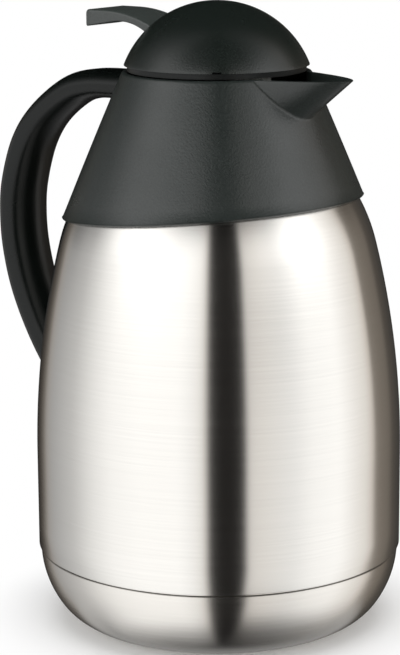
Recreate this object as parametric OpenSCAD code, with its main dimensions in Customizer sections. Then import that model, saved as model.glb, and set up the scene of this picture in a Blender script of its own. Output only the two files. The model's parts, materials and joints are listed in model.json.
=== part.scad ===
// Thermal carafe with a flip lid.
// Origin on the surface the jug stands on, at the axis of the body. +Z is up, +X points to the spout.

/* [Steel vessel] */
// Largest outside diameter of the body
body_d = 150; // [124:1:182]
// Height of the seam between the base cup and the barrel
seam_z = 32; // [28:1:38]
// Height where the barrel starts to draw in
belly_z = 71; // [58:1:86]
// Height where the shoulder starts
shoulder_z = 158; // [132:1:190]
// How far the barrel has drawn in where the shoulder starts
barrel_taper = 10.7; // [8.8:0.1:13]
// Radius of the shoulder curve in profile
shoulder_curve = 75; // [70:1:92]
// Outside diameter of the steel neck
neck_d = 69; // [57:1:76]
// Straight height of the steel neck
neck_h = 3.7; // [3:0.1:6]
// Distance from the side of the body in to the ring it stands on
foot_inset = 26; // [24:1:31]
// Thickness of the outer steel
shell_t = 0.8; // [0.6:0.1:1]
// Thickness of the inner steel
liner_t = 0.6; // [0.5:0.1:0.8]
// Width of the vacuum space round the body
vacuum_gap = 7; // [6:0.1:9]
// Height of the base plate above the ring it stands on
base_recess = 4; // [3:0.5:5]

/* [Collar and spout] */
// How far the collar's rim stands outside the steel neck
rim_over = 3.5; // [2.5:0.1:7]
// Height of the collar rim above the steel mouth
rim_rise = 19; // [17:0.5:23]
// Depth of the pouring well inside the rim
well_depth = 9; // [7.5:0.5:10]
// Wall of the collar
collar_t = 2.4; // [2:0.1:3]
// Height of the collar's lower edge above the start of the shoulder, at the axis
collar_edge_rise = 14; // [10:0.5:18]
// Slant of the collar's lower edge, higher under the spout
collar_tilt = 5.4; // [0:0.1:6]
// How far the collar stands out from the steel at its lower edge
collar_step = 2; // [1.6:0.1:2.4]
// How far the spout's tip reaches past the rim
spout_reach = 27.4; // [23:0.1:33]
// Angle of the spout's keel below level
keel_angle = 38.2; // [36:0.1:44]
// Wall of the spout
spout_t = 2; // [1.6:0.1:2.4]

/* [Handle] */
// How far the middle of the grip stands out from the body
grip_reach = 32; // [26:1:40]
// Width of the grip from side to side
grip_w = 23.4; // [21:0.5:30]
// Thickness of the grip
grip_t = 16; // [14:0.5:20]
// Thickness of the handle where it leaves the collar
root_t = 12.4; // [11:0.2:13]
// Radius of the screw that holds the foot of the handle
screw_r = 2; // [1.5:0.1:2.5]

/* [Stopper] */
// How far the stopper reaches down past the steel mouth
plug_depth = 20; // [15:1:26]
// Radius of the pouring port
port_r = 6; // [5:0.5:7]
// Distance of the port from the axis
port_x = 16; // [14:0.5:17]
// Radius of the air vent
vent_r = 2; // [1.5:0.1:2.5]

/* [Flip lid] */
// How much larger the dome's sphere is than its rim, in radius
dome_swell = 2.7; // [1.8:0.1:8]
// Gap between the collar rim and the dome
dome_gap = 2.5; // [2.2:0.1:3.5]
// Wall of the dome
dome_t = 2.2; // [1.8:0.1:2.8]
// How far the lever reaches past the rim
lever_reach = 23; // [18:0.5:25]
// Width of the lever
lever_w = 23; // [18:0.5:27]
// Distance from the top of the dome down to the top of the lever
lever_drop = 5.5; // [4:0.1:8]
// Radius of the hinge pin
pin_r = 1.5; // [1.2:0.1:1.8]
// Distance from the hinge axis in from the rim
hinge_inset = 7.2; // [7:0.1:8.5]

/* [Clearances] */
// Between pieces that pass or turn with room to spare
free_gap = 0.3; // [0.2:0.05:0.4]
// Between the hinge pin and its holes
pin_gap = 0.05; // [0.03:0.01:0.08]

/* [Hidden] */

$fn = 96;
eps = 0.01;
far = 400;

// Barrel arc, then shoulder arc, then the hollow curve up to the neck
body_r = body_d / 2;
barrel_h = shoulder_z - belly_z;
barrel_curve = (barrel_h * barrel_h + barrel_taper * barrel_taper) / (2 * barrel_taper);
barrel_end = asin(barrel_h / barrel_curve);
shoulder_c = [body_r - barrel_taper - shoulder_curve * cos(barrel_end),
  shoulder_z - shoulder_curve * sin(barrel_end)];
neck_r = neck_d / 2;
neck_curve = 6;
neck_c = [neck_r + neck_curve,
  tangent_z(shoulder_c, shoulder_curve + neck_curve, neck_r + neck_curve)];
neck_turn = atan2(neck_c[1] - shoulder_c[1], neck_c[0] - shoulder_c[0]);
mouth_z = neck_c[1] + neck_h;

// The liner follows the same arcs inside the vacuum space, with a narrower space at the neck
liner_in = shell_t + vacuum_gap;
liner_r = body_r - liner_in;
liner_shoulder = shoulder_curve - liner_in;
neck_space = 2.5;
liner_neck_r = neck_r - shell_t - neck_space;
liner_neck_curve = 10;
liner_neck_c = [liner_neck_r + liner_neck_curve,
  tangent_z(shoulder_c, liner_shoulder + liner_neck_curve, liner_neck_r + liner_neck_curve)];
liner_turn = atan2(liner_neck_c[1] - shoulder_c[1], liner_neck_c[0] - shoulder_c[0]);
mouth_r = liner_neck_r - liner_t;

// Base cup: two arcs from the foot ring up to the seam
cup_r = body_r - shell_t;
foot_r = body_r - foot_inset;
foot_curve = 22;
cup_curve = (pow(cup_r - foot_r, 2) + pow(seam_z - foot_curve, 2) - foot_curve * foot_curve)
  / (2 * (cup_r - foot_r - foot_curve));
cup_turn = atan2(foot_curve - seam_z, foot_r - cup_r + cup_curve);
foot_w = 6;
recess_slope = 5;
cup_lap = 4;
liner_base_z = base_recess + shell_t + 5;
liner_base_curve = 14;
liner_lap = 4;
evacuation_r = 3;
seal_r = 6.5;
getter_r = 9;
getter_t = 2.5;

// Collar: a straight cone from the rim down to the step over the steel
rim_r = neck_r + rim_over;
rim_z = mouth_z + rim_rise;
collar_edge_z = shoulder_z + collar_edge_rise;
cone_slope = (steel_r(collar_edge_z) + collar_step - rim_r) / (rim_z - collar_edge_z);
cone_angle = atan(cone_slope);
wall_across = collar_t / cos(cone_angle);
steel_gap = 0.2;
floor_z = rim_z - well_depth;
web_t = 2;
rim_thinner = 0.2;
well_r = rim_r - collar_t + rim_thinner;
sleeve_r = neck_r - 1.5;
sleeve_out = sleeve_r + 2.5;
neck_gasket_t = 1.4;
sleeve_z = mouth_z + neck_gasket_t;

// Spout: an oval cone whose lowest line is the keel
spout_half = 20.7;
spout_lean = keel_angle - spout_half;
spout_tip_r = 27.4;
spout_oval = 0.552;
spout_mid_r = 36;
channel_oval = (spout_oval * spout_mid_r - spout_t) / (spout_mid_r - spout_t / cos(spout_half));
spout_tip = [rim_r + spout_reach, rim_z];
spout_foot = [spout_tip[0] - spout_tip_r * sin(spout_lean), spout_tip[1] + spout_tip_r * cos(spout_lean)];

// Stopper
skirt_r = sleeve_r - 0.4;
plug_r = mouth_r - 1;
skirt_t = skirt_r - plug_r - free_gap;
flange_r = well_r - 0.5;
flange_z = floor_z + free_gap;
flange_t = 2.5;
deck_z = flange_z + flange_t;
gasket_t = 1.9;
gasket_slack = 0.1;
plug_z = mouth_z - plug_depth;
plug_t = 1.6;
tube_t = 1.6;
seat_rise = 2.2;
vent_x = -15;

// Lid
dome_z = rim_z + dome_gap;
dome_inset = 0.6;
dome_rim_r = rim_r - dome_inset;
dome_r = dome_rim_r + dome_swell;
dome_c = dome_z - sqrt(dome_r * dome_r - dome_rim_r * dome_rim_r);
frame_inset = 1.4;
frame_r = dome_rim_r - frame_inset;
frame_z = rim_z + 0.4;
frame_top = dome_z + 2;
spigot_r = sqrt(pow(dome_r - dome_t, 2) - pow(frame_top - dome_c, 2)) - free_gap;
hinge_x = -(rim_r - hinge_inset);
knuckle_t = 1.5;
knuckle_r = pin_r + knuckle_t;
knuckle_clear = 0.1;
hinge_z = rim_z + knuckle_r + knuckle_clear;
spring_room = 3.7;
knuckle_end = 6.6;
ear_start = knuckle_end + free_gap;
ear_t = 2.4;
ear_end = ear_start + ear_t;
pin_out = 0.4;
pin_half = ear_end + pin_out;
notch_side = 3.7;
notch_half = ear_end + notch_side;
lid_seal_r = port_r + tube_t + 1.4;
seal_gap = 0.2;
boss_r = 3.5;
boss_place = [12, 20];

// Lever: a level top that falls along one arc, and an underside that rises and falls along another
lever_top = dome_c + dome_r - lever_drop;
lever_end = -(rim_r + lever_reach);
lever_flat = 12;
lever_bend_x = lever_end + lever_flat;
lever_top_curve = 60;
lever_low_curve = 24.6;
lever_low_run = 16;
lever_low_x = lever_end + lever_low_run;
lever_t = 4.6;
lever_low_z = lever_top - lever_t;
lever_low_slope = 9.5;
lever_low_c = [lever_low_x + lever_low_curve * sin(lever_low_slope),
  lever_low_z - lever_low_curve * cos(lever_low_slope)];
lever_inner_x = -22;
lever_leg_t = 4;
lever_corner = 4;
lever_nose = 3.5;
slot_gap = 0.15;

// Return spring round the hinge pin
wire_r = 0.4;
coil_r = pin_r + 0.9;
coil_turns = 4;
coil_pitch = 1.3;
rings_per_turn = 8;
wire_sides = 6;
lid_leg = 9;
deck_leg = 3;

// Handle: stations from the collar down to the foot, each as
// distance out from the body radius, distance down from the root, half thickness, half width
root_z = rim_z - 8.4;
root_x = cone_r(root_z);
half_t = grip_t / 2;
half_w = grip_w / 2;
stations = [
  [root_x - body_r - 6, 0, root_t / 2, half_w - 1],
  [root_x - body_r + 6, 0, root_t / 2, half_w - 1],
  [root_x - body_r + 20.5, 0.7, root_t / 2, half_w - 0.8],
  [0, 4.5, root_t / 2 + 0.6, half_w - 0.5],
  [grip_reach - 17, 15.3, half_t - 1, half_w],
  [grip_reach - 7.3, 28.3, half_t - 0.3, half_w],
  [grip_reach - 1.3, 46, half_t, half_w],
  [grip_reach, 60, half_t, half_w],
  [grip_reach - 1.7, 74, half_t, half_w],
  [grip_reach - 6, 90, half_t, half_w],
  [grip_reach - 13.5, 107, half_t - 0.3, half_w - 0.3],
  [grip_reach - 23, 123, half_t - 0.6, half_w - 1],
  [grip_reach - 34, 137, half_t - 1, half_w - 2]];
steps_per_station = 3;
ring_points = 20;
section_power = 0.86;
foot_gap = 0.15;
foot_z = root_z - 124;
bracket_t = 1.5;
plate_gap = 0.02;
bracket_half_w = 7;
bracket_half_h = 8;
boss_out = 5;
boss_out_r = 4;
screw_head_r = 2 * screw_r;
screw_head_t = 1.3 * screw_r;
screw_floor = 2;
seat_r = steel_r(foot_z - bracket_half_h);
spigot_out = 8;
spigot_sunk = 1.5;
spigot_half_w = 7;
spigot_half_h = 3.5;
spigot_end_gap = 0.6;
root_sunk = 2;

// Height at which a circle of radius reach about c stands over the line x = at_x
function tangent_z(c, reach, at_x) = c[1] + sqrt(reach * reach - pow(at_x - c[0], 2));

// Points along an arc about c, after its first point
function arc(c, r, from, to, steps) =
  [for (i = [1:steps]) let (a = from + (to - from) * i / steps) c + r * [cos(a), sin(a)]];

function reversed(p) = [for (i = [len(p) - 1:-1:0]) p[i]];

// One side of a vessel wall from the seam up to top_z: barrel, shoulder, hollow curve about neck_at, neck
function wall_side(inset, neck_at, hollow_r, turn, top_z) = concat(
  [[body_r - inset, seam_z], [body_r - inset, belly_z]],
  arc([body_r - barrel_curve, belly_z], barrel_curve - inset, 0, barrel_end, 12),
  arc(shoulder_c, shoulder_curve - inset, barrel_end, turn, 12),
  arc(neck_at, hollow_r, 180 + turn, 180, 6),
  [[neck_at[0] - hollow_r, top_z]]);

// Outside radius of the steel body at height z, up to the shoulder
function steel_r(z) =
  z <= belly_z ? body_r :
  z <= shoulder_z ? body_r - barrel_curve + sqrt(barrel_curve * barrel_curve - pow(z - belly_z, 2)) :
  shoulder_c[0] + sqrt(shoulder_curve * shoulder_curve - pow(z - shoulder_c[1], 2));

// Outside radius of the collar's cone at height z
function cone_r(z) = rim_r + (rim_z - z) * cone_slope;

// Smooth curve through the list p, at position t
function at_t(p, t) =
  let (i = min(floor(t), len(p) - 2), u = t - i,
    a = p[max(i - 1, 0)], b = p[i], c = p[i + 1], d = p[min(i + 2, len(p) - 1)])
  0.5 * (2 * b + (c - a) * u + (2 * a - 5 * b + 4 * c - d) * u * u + (3 * b - a - 3 * c + d) * u * u * u);

// Rounded-rectangle section: sign-keeping power of a sine or cosine
function rounded(v) = sign(v) * pow(abs(v), section_power);

// One point of the handle at position t along it and angle a round it, before it meets its seat
function handle_point(t, a) =
  let (s = at_t(stations, t), ahead = at_t(stations, t + 0.02), behind = at_t(stations, t - 0.02),
    run = [behind[0] - ahead[0], behind[1] - ahead[1]], side = [-run[1], run[0]] / norm(run))
  [-(body_r + s[0]) + side[0] * s[2] * rounded(cos(a)),
    s[3] * rounded(sin(a)),
    root_z - s[1] + side[1] * s[2] * rounded(cos(a))];

// The handle keeps outside the collar at its root and outside the steel at its foot
function seat_x(y, r) = -sqrt(max(r * r - y * y, 0));
function seated(p, t, last) =
  t <= 1 / steps_per_station + eps ? [seat_x(p[1], cone_r(p[2]) - root_sunk), p[1], p[2]] :
  t >= last ? [seat_x(p[1], steel_r(p[2]) + foot_gap), p[1], p[2]] :
  p[2] < collar_edge_z - 20 ? [min(p[0], seat_x(p[1], steel_r(p[2]) + foot_gap)), p[1], p[2]] :
  p;

// Closed skin over a list of rings that all have the same count of points
function skin_faces(rings, n) = concat(
  [for (i = [0:rings - 2], k = [0:n - 1]) [i * n + k, i * n + (k + 1) % n, (i + 1) * n + k]],
  [for (i = [0:rings - 2], k = [0:n - 1])
    [i * n + (k + 1) % n, (i + 1) * n + (k + 1) % n, (i + 1) * n + k]],
  [[for (k = [n - 1:-1:0]) k]],
  [[for (k = [0:n - 1]) (rings - 1) * n + k]]);

// Rectangle in a profile, given by two corners
module span(low, high) {
  translate(low) square(high - low);
}

module outer_shell() {
  top_z = mouth_z - shell_t;
  color("silver") rotate_extrude() polygon(concat(
    wall_side(0, neck_c, neck_curve, neck_turn, top_z),
    reversed(wall_side(shell_t, neck_c, neck_curve + shell_t, neck_turn, top_z))));
}

// One side of the base cup, from its upper edge round to the ring it stands on and up into the recess
function cup_side(inset) =
  let (foot_in = foot_r - foot_w - inset)
  concat(
    [[cup_r - inset, seam_z + cup_lap], [cup_r - inset, seam_z]],
    arc([cup_r - cup_curve, seam_z], cup_curve - inset, 0, cup_turn, 8),
    arc([foot_r, foot_curve], foot_curve - inset, cup_turn, -90, 8),
    [[foot_in, inset], [foot_in - recess_slope, base_recess + inset], [0, base_recess + inset]]);

module base_cup() {
  color("silver") difference() {
    rotate_extrude() polygon(concat(cup_side(0), reversed(cup_side(shell_t))));
    translate([0, 0, base_recess - 1]) cylinder(h = shell_t + 2, r = evacuation_r);
  }
}

module liner() {
  color("lightgray") rotate_extrude() {
    polygon(concat(
      wall_side(liner_in, liner_neck_c, liner_neck_curve, liner_turn, mouth_z),
      reversed(wall_side(liner_in + liner_t, liner_neck_c, liner_neck_curve + liner_t, liner_turn, mouth_z))));
    span([mouth_r, mouth_z - shell_t], [neck_r, mouth_z]);
  }
}

module liner_base() {
  dish_r = liner_r - liner_t;
  corner = [dish_r - liner_base_curve, liner_base_z + liner_base_curve];
  color("lightgray") rotate_extrude() polygon(concat(
    [[dish_r, seam_z + liner_lap], [dish_r, corner[1]]],
    arc(corner, liner_base_curve, 0, -90, 8),
    [[0, liner_base_z], [0, liner_base_z + liner_t], [corner[0], liner_base_z + liner_t]],
    arc(corner, liner_base_curve - liner_t, -90, 0, 8),
    [[dish_r - liner_t, seam_z + liner_lap]]));
}

module getter() {
  color("dimgray") translate([0, 0, liner_base_z - getter_t]) cylinder(h = getter_t, r = getter_r);
}

module vacuum_seal() {
  color("gainsboro") {
    translate([0, 0, base_recess - shell_t]) cylinder(h = shell_t, r = seal_r);
    translate([0, 0, base_recess - eps]) cylinder(h = shell_t, r = evacuation_r - 0.1);
  }
}

module neck_gasket() {
  color("whitesmoke") translate([0, 0, mouth_z]) difference() {
    cylinder(h = neck_gasket_t, r = neck_r);
    translate([0, 0, -1]) cylinder(h = neck_gasket_t + 2, r = sleeve_r);
  }
}

// The spout as a solid oval cone, thinner by inset all round
module spout_cone(inset, oval) {
  start = -8;
  length = 62;
  slant = inset / cos(spout_half);
  scale([1, oval, 1]) translate([spout_foot[0], 0, spout_foot[1]]) rotate([0, -90 - spout_lean, 0])
    translate([0, 0, start])
      cylinder(h = length, r1 = spout_tip_r + start * tan(spout_half) - slant,
        r2 = spout_tip_r + (start + length) * tan(spout_half) - slant, $fn = 120);
}

// The room inside the collar: well, threaded sleeve, hollow under the web, and the steel shoulder
module collar_room() {
  low = collar_edge_z - 20;
  span([0, floor_z], [well_r, rim_z + 1]);
  span([0, low], [sleeve_r, floor_z + 1]);
  span([0, low], [sleeve_out, sleeve_z]);
  polygon([[sleeve_out, low], [cone_r(low) - wall_across, low],
    [cone_r(floor_z - web_t) - wall_across, floor_z - web_t], [sleeve_out, floor_z - web_t]]);
  intersection() {
    translate(shoulder_c) circle(shoulder_curve + steel_gap, $fn = 360);
    span([0, low - 60], [far, floor_z]);
  }
}

module collar() {
  low = collar_edge_z - 12;
  inner_x = 22;
  spout_low = 24;
  color("#2b2d2c") difference() {
    union() {
      rotate_extrude() polygon([[0, low], [cone_r(low), low], [rim_r, rim_z], [0, rim_z]]);
      intersection() {
        spout_cone(0, spout_oval);
        translate([inner_x, -far / 2, rim_z - spout_low]) cube([far, far, spout_low]);
      }
      handle_spigot(0);
    }
    rotate_extrude() collar_room();
    intersection() {
      spout_cone(spout_t, channel_oval);
      translate([inner_x, -far / 2, floor_z]) cube([far, far, far]);
    }
    intersection() {
      spout_cone(spout_t, channel_oval);
      translate([sleeve_out + 1, -far / 2, floor_z - web_t - far]) cube([far, far, far]);
    }
    translate([0, 0, collar_edge_z]) rotate([0, -collar_tilt, 0])
      translate([-far / 2, -far / 2, -far]) cube([far, far, far]);
  }
}

// Block on the back of the collar that the root of the handle is pushed on to.
// The pocket for it is larger by grow, and deeper.
module handle_spigot(grow, deeper = 0) {
  half_w = spigot_half_w + grow;
  half_h = spigot_half_h + grow;
  translate([-root_x - spigot_out - grow, -half_w, root_z - half_h])
    cube([spigot_out + spigot_sunk + grow + deeper, 2 * half_w, 2 * half_h]);
}

module handle() {
  last = len(stations) - 1;
  count = last * steps_per_station;
  rings = [for (i = [1:count]) let (t = i / steps_per_station)
    [for (k = [0:ring_points - 1]) seated(handle_point(t, -360 * k / ring_points), t, last)]];
  pocket_w = bracket_half_w + free_gap;
  pocket_h = bracket_half_h + free_gap;
  boss_end = seat_r + bracket_t + boss_out;
  color("#1c1d1d") difference() {
    polyhedron([for (r = rings, p = r) p], skin_faces(len(rings), ring_points));
    handle_spigot(free_gap / 2, spigot_end_gap);
    translate([0, 0, collar_edge_z]) cylinder(h = rim_z - collar_edge_z, r1 = cone_r(collar_edge_z) + foot_gap,
      r2 = rim_r + foot_gap);
    translate([-seat_r - bracket_t - free_gap, -pocket_w, foot_z - pocket_h]) cube([20, 2 * pocket_w, 2 * pocket_h]);
    along_screw(boss_end + free_gap) cylinder(h = 20, r = boss_out_r + free_gap);
    along_screw(boss_end + 40) cylinder(h = 60, r = screw_r + free_gap);
    along_screw(boss_end + 40) cylinder(h = 40 - screw_floor, r = screw_head_r + free_gap);
  }
}

// Puts what is drawn along +Z on the screw's axis, starting this far out from the jug's axis
module along_screw(out) {
  translate([-out, 0, foot_z]) rotate([0, 90, 0]) children();
}

// Plate bent round the body
module bracket_plate() {
  angle = 2 * asin(bracket_half_w / body_r);
  heights = [for (i = [-2:2]) foot_z + i * bracket_half_h / 2];
  rotate([0, 0, 180 - angle / 2]) rotate_extrude(angle = angle) polygon(concat(
    [for (z = heights) [steel_r(z) + plate_gap, z]],
    reversed([for (z = heights) [steel_r(z) + plate_gap + bracket_t, z]])));
}

module handle_bracket() {
  boss_end = seat_r + bracket_t + boss_out;
  color("darkgray") difference() {
    union() {
      bracket_plate();
      along_screw(boss_end) cylinder(h = boss_out + bracket_t, r = boss_out_r);
    }
    along_screw(boss_end + 1) cylinder(h = boss_out + bracket_t + 0.5, r = screw_r + pin_gap);
  }
}

module handle_screw() {
  boss_end = seat_r + bracket_t + boss_out;
  color("silver") {
    along_screw(boss_end + screw_floor) cylinder(h = screw_floor + boss_out, r = screw_r);
    along_screw(boss_end + screw_floor + screw_head_t) cylinder(h = screw_head_t, r = screw_head_r);
  }
}

module stopper_gasket() {
  color("whitesmoke") translate([0, 0, mouth_z]) difference() {
    cylinder(h = gasket_t, r = skirt_r);
    translate([0, 0, -1]) cylinder(h = gasket_t + 2, r = plug_r + free_gap);
  }
}

// Side view of one hinge ear, standing on the deck
module ear_outline() {
  translate([hinge_x, hinge_z]) circle(knuckle_r);
  span([hinge_x - knuckle_r, deck_z - 1], [hinge_x + knuckle_r, hinge_z]);
}

module stopper_body() {
  color("#303231") difference() {
    union() {
      translate([0, 0, flange_z]) cylinder(h = flange_t, r = flange_r);
      translate([0, 0, mouth_z + gasket_t + gasket_slack]) difference() {
        cylinder(h = flange_z - mouth_z - gasket_t, r = skirt_r);
        translate([0, 0, -1]) cylinder(h = far, r = skirt_r - skirt_t);
      }
      translate([port_x, 0, plug_z + plug_t]) cylinder(h = deck_z + seat_rise - plug_z - plug_t, r = port_r + tube_t);
      translate([vent_x, 0, plug_z + plug_t]) cylinder(h = deck_z + seat_rise - plug_z - plug_t, r = vent_r + tube_t);
      for (side = [-1, 1]) translate([0, side * (ear_start + ear_end) / 2 + (ear_end - ear_start) / 2, 0])
        rotate([90, 0, 0]) linear_extrude(ear_end - ear_start) ear_outline();
      translate([hinge_x - knuckle_r, -spring_room + 0.5, deck_z - 1])
        cube([knuckle_r, 2 * spring_room - 1, hinge_z - coil_r - wire_r - free_gap - deck_z + 1]);
    }
    translate([port_x, 0, plug_z - 1]) cylinder(h = far, r = port_r);
    translate([vent_x, 0, plug_z - 1]) cylinder(h = far, r = vent_r);
    translate([hinge_x, far / 2, hinge_z]) rotate([90, 0, 0]) cylinder(h = far, r = pin_r + pin_gap);
  }
}

module stopper_cup() {
  color("#3a3c3b") difference() {
    translate([0, 0, plug_z]) cylinder(h = flange_z - plug_z, r = plug_r);
    translate([0, 0, plug_z + plug_t]) cylinder(h = far, r = plug_r - plug_t);
    translate([port_x, 0, plug_z - 1]) cylinder(h = far, r = port_r);
    translate([vent_x, 0, plug_z - 1]) cylinder(h = far, r = vent_r);
  }
}

module stopper_foam() {
  color("ivory") difference() {
    translate([0, 0, plug_z + plug_t]) cylinder(h = flange_z - plug_z - plug_t - 1, r = plug_r - plug_t - free_gap);
    translate([port_x, 0, plug_z]) cylinder(h = far, r = port_r + tube_t + free_gap);
    translate([vent_x, 0, plug_z]) cylinder(h = far, r = vent_r + tube_t + free_gap);
  }
}

module hinge_pin() {
  color("silver") translate([hinge_x, pin_half, hinge_z]) rotate([90, 0, 0]) cylinder(h = 2 * pin_half, r = pin_r);
}

// Torsion spring: a leg over the lid frame, the coil round the pin, and a leg on the stopper's post
coil_half = coil_turns * coil_pitch / 2;
coil_steps = coil_turns * rings_per_turn + rings_per_turn / 2;
coil_points = [for (i = [0:coil_steps]) let (a = 90 + 360 * i / rings_per_turn)
  [hinge_x + coil_r * cos(a), -coil_half + coil_pitch * i / rings_per_turn, hinge_z + coil_r * sin(a)]];
spring_points = concat(
  [coil_points[0] + [lid_leg, 0, 0], coil_points[0] + [lid_leg / 2, 0, 0]],
  coil_points,
  [coil_points[coil_steps] + [-deck_leg / 2, 0, 0], coil_points[coil_steps] + [-deck_leg, 0, 0]]);

// Least clear space between any two turns of the wire, measured from ring to ring
spring_gap = min([for (i = [0:len(spring_points) - 1], j = [i:len(spring_points) - 1])
  if (j - i >= rings_per_turn / 2) norm(spring_points[i] - spring_points[j]) - 2 * wire_r]);
echo(spring_gap = spring_gap);

module return_spring() {
  n = len(spring_points);
  rings = [for (i = [0:n - 1])
    let (d = spring_points[min(i + 1, n - 1)] - spring_points[max(i - 1, 0)],
      u = d / norm(d), v = cross(u, [0, 1, 0]), w = v / norm(v), q = cross(u, w))
    [for (k = [0:wire_sides - 1]) let (a = 360 * k / wire_sides)
      spring_points[i] + wire_r * (cos(a) * w + sin(a) * q)]];
  color("silver") polyhedron([for (r = rings, p = r) p], skin_faces(n, wire_sides));
}

module lid_frame() {
  slot_x = hinge_x + knuckle_r + free_gap;
  color("#303231") difference() {
    union() {
      difference() {
        union() {
          translate([0, 0, frame_z]) cylinder(h = dome_z - frame_z, r = frame_r);
          translate([0, 0, dome_z - eps]) cylinder(h = frame_top - dome_z, r = spigot_r);
        }
        translate([-far - 30, -notch_half, frame_z - 1]) cube([far + 30 + hinge_x, 2 * notch_half, far]);
        translate([-far, -notch_half, frame_z - 1]) cube([far + slot_x, notch_half - knuckle_end, far]);
        translate([-far, knuckle_end, frame_z - 1]) cube([far + slot_x, notch_half - knuckle_end, far]);
      }
      translate([hinge_x, knuckle_end, hinge_z]) rotate([90, 0, 0]) cylinder(h = 2 * knuckle_end, r = knuckle_r);
    }
    translate([-far, -spring_room, frame_z - 4]) cube([far + slot_x + 1, 2 * spring_room, far]);
    translate([hinge_x, far / 2, hinge_z]) rotate([90, 0, 0]) cylinder(h = far, r = pin_r + pin_gap);
  }
}

module lid_seal() {
  color("whitesmoke") translate([port_x, 0, deck_z + seat_rise + seal_gap])
    cylinder(h = frame_z - deck_z - seat_rise - seal_gap, r = lid_seal_r);
}

// Side view of the lever's tab, larger by grow, from its outer end to inside the dome
module tab_outline(grow) {
  difference() {
    union() {
      span([lever_end - grow, lever_top - 12], [lever_bend_x, lever_top + grow]);
      intersection() {
        translate([lever_bend_x, lever_top - lever_top_curve]) circle(lever_top_curve + grow, $fn = 240);
        span([lever_bend_x - eps, lever_top - 20], [lever_inner_x, lever_top + 1]);
      }
    }
    intersection() {
      translate(lever_low_c) circle(lever_low_curve - grow, $fn = 180);
      span([lever_low_x, lever_top - 40], [far, far]);
    }
    polygon([[lever_low_x + eps, lever_low_z - grow],
      [lever_end - 20, lever_low_z - grow - (lever_low_x - lever_end + 20) * tan(lever_low_slope)],
      [lever_end - 20, lever_top - 40], [lever_low_x + eps, lever_top - 40]]);
  }
}

module lid_dome() {
  color("#232524") difference() {
    union() {
      difference() {
        translate([0, 0, dome_c]) sphere(dome_r, $fn = 120);
        translate([0, 0, dome_c]) sphere(dome_r - dome_t, $fn = 120);
      }
      for (side = [-1, 1]) intersection() {
        translate([boss_place[0], side * boss_place[1], frame_top]) cylinder(h = far, r = boss_r);
        translate([0, 0, dome_c]) sphere(dome_r - dome_t / 2, $fn = 120);
      }
    }
    translate([-far / 2, -far / 2, dome_z - far]) cube([far, far, far]);
    translate([-far, -notch_half, dome_z - 1]) cube([far, 2 * notch_half, hinge_z + knuckle_r + 0.8 - dome_z + 1]);
    translate([0, lever_w / 2 + slot_gap, 0]) rotate([90, 0, 0]) linear_extrude(lever_w + 2 * slot_gap)
      tab_outline(slot_gap);
  }
}

module thumb_lever() {
  leg_w = lever_w / 2 - 3 - spring_room - free_gap;
  leg_mid = spring_room + free_gap + leg_w / 2;
  leg_top = tangent_z(lever_low_c, lever_low_curve, lever_inner_x - lever_leg_t) + 1;
  color("#1f2120") {
    intersection() {
      translate([0, lever_w / 2, 0]) rotate([90, 0, 0]) linear_extrude(lever_w) difference() {
        tab_outline(0);
        difference() {
          span([lever_end - 1, lever_top - lever_nose], [lever_end + lever_nose, lever_top + 1]);
          translate([lever_end + lever_nose, lever_top - lever_nose]) circle(lever_nose);
        }
      }
      translate([0, 0, lever_top - 30]) linear_extrude(40) {
        span([lever_end, -lever_w / 2 + lever_corner], [lever_inner_x, lever_w / 2 - lever_corner]);
        span([lever_end + lever_corner, -lever_w / 2], [lever_inner_x, lever_w / 2]);
        for (side = [-1, 1]) translate([lever_end + lever_corner, side * (lever_w / 2 - lever_corner)])
          circle(lever_corner);
      }
    }
    for (side = [-1, 1]) translate([lever_inner_x - lever_leg_t, side * leg_mid - leg_w / 2, frame_top])
      cube([lever_leg_t, leg_w, leg_top - frame_top]);
  }
}

outer_shell();
base_cup();
liner();
liner_base();
getter();
vacuum_seal();
neck_gasket();
collar();
handle();
handle_bracket();
handle_screw();
stopper_gasket();
stopper_body();
stopper_cup();
stopper_foam();
hinge_pin();
return_spring();
lid_frame();
lid_seal();
lid_dome();
thumb_lever();
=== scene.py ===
import json
from math import asin, atan2, copysign, cos, degrees, hypot, pi, radians, sin, sqrt, tan
import bpy
from mathutils import Euler, Matrix, Vector


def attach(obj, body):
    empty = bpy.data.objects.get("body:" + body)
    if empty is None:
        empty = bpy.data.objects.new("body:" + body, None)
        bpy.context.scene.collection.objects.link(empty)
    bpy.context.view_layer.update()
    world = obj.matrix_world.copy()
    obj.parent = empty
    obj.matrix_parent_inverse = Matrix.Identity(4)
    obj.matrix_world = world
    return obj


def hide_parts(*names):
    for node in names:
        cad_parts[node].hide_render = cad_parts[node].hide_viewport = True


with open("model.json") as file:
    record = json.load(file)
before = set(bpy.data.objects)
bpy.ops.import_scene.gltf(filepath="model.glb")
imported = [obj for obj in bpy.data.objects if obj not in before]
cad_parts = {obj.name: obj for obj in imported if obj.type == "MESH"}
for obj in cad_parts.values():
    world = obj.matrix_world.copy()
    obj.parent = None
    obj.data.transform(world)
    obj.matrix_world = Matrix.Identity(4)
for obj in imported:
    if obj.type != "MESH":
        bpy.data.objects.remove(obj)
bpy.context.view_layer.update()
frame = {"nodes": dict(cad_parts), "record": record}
print("frame loaded")

# The body's axis is Z, the spout points along +X and the handle along -X. Pieces are drawn in
# millimetres, which bareMesh turns to metres. The studio, the lamp and the camera are in metres.

# Sockets of a Mix node: its factor, the two numbers or colours that it mixes, and the mixed colour
mixFactor, numberA, numberB, colorA, colorB, mixedColor = 0, 2, 3, 6, 7, 2
noiseLow, noiseHigh = 0.3, 0.7  # noise seldom leaves this range
flowSpread = 0.03  # how far flow marks change a plastic's roughness


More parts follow.
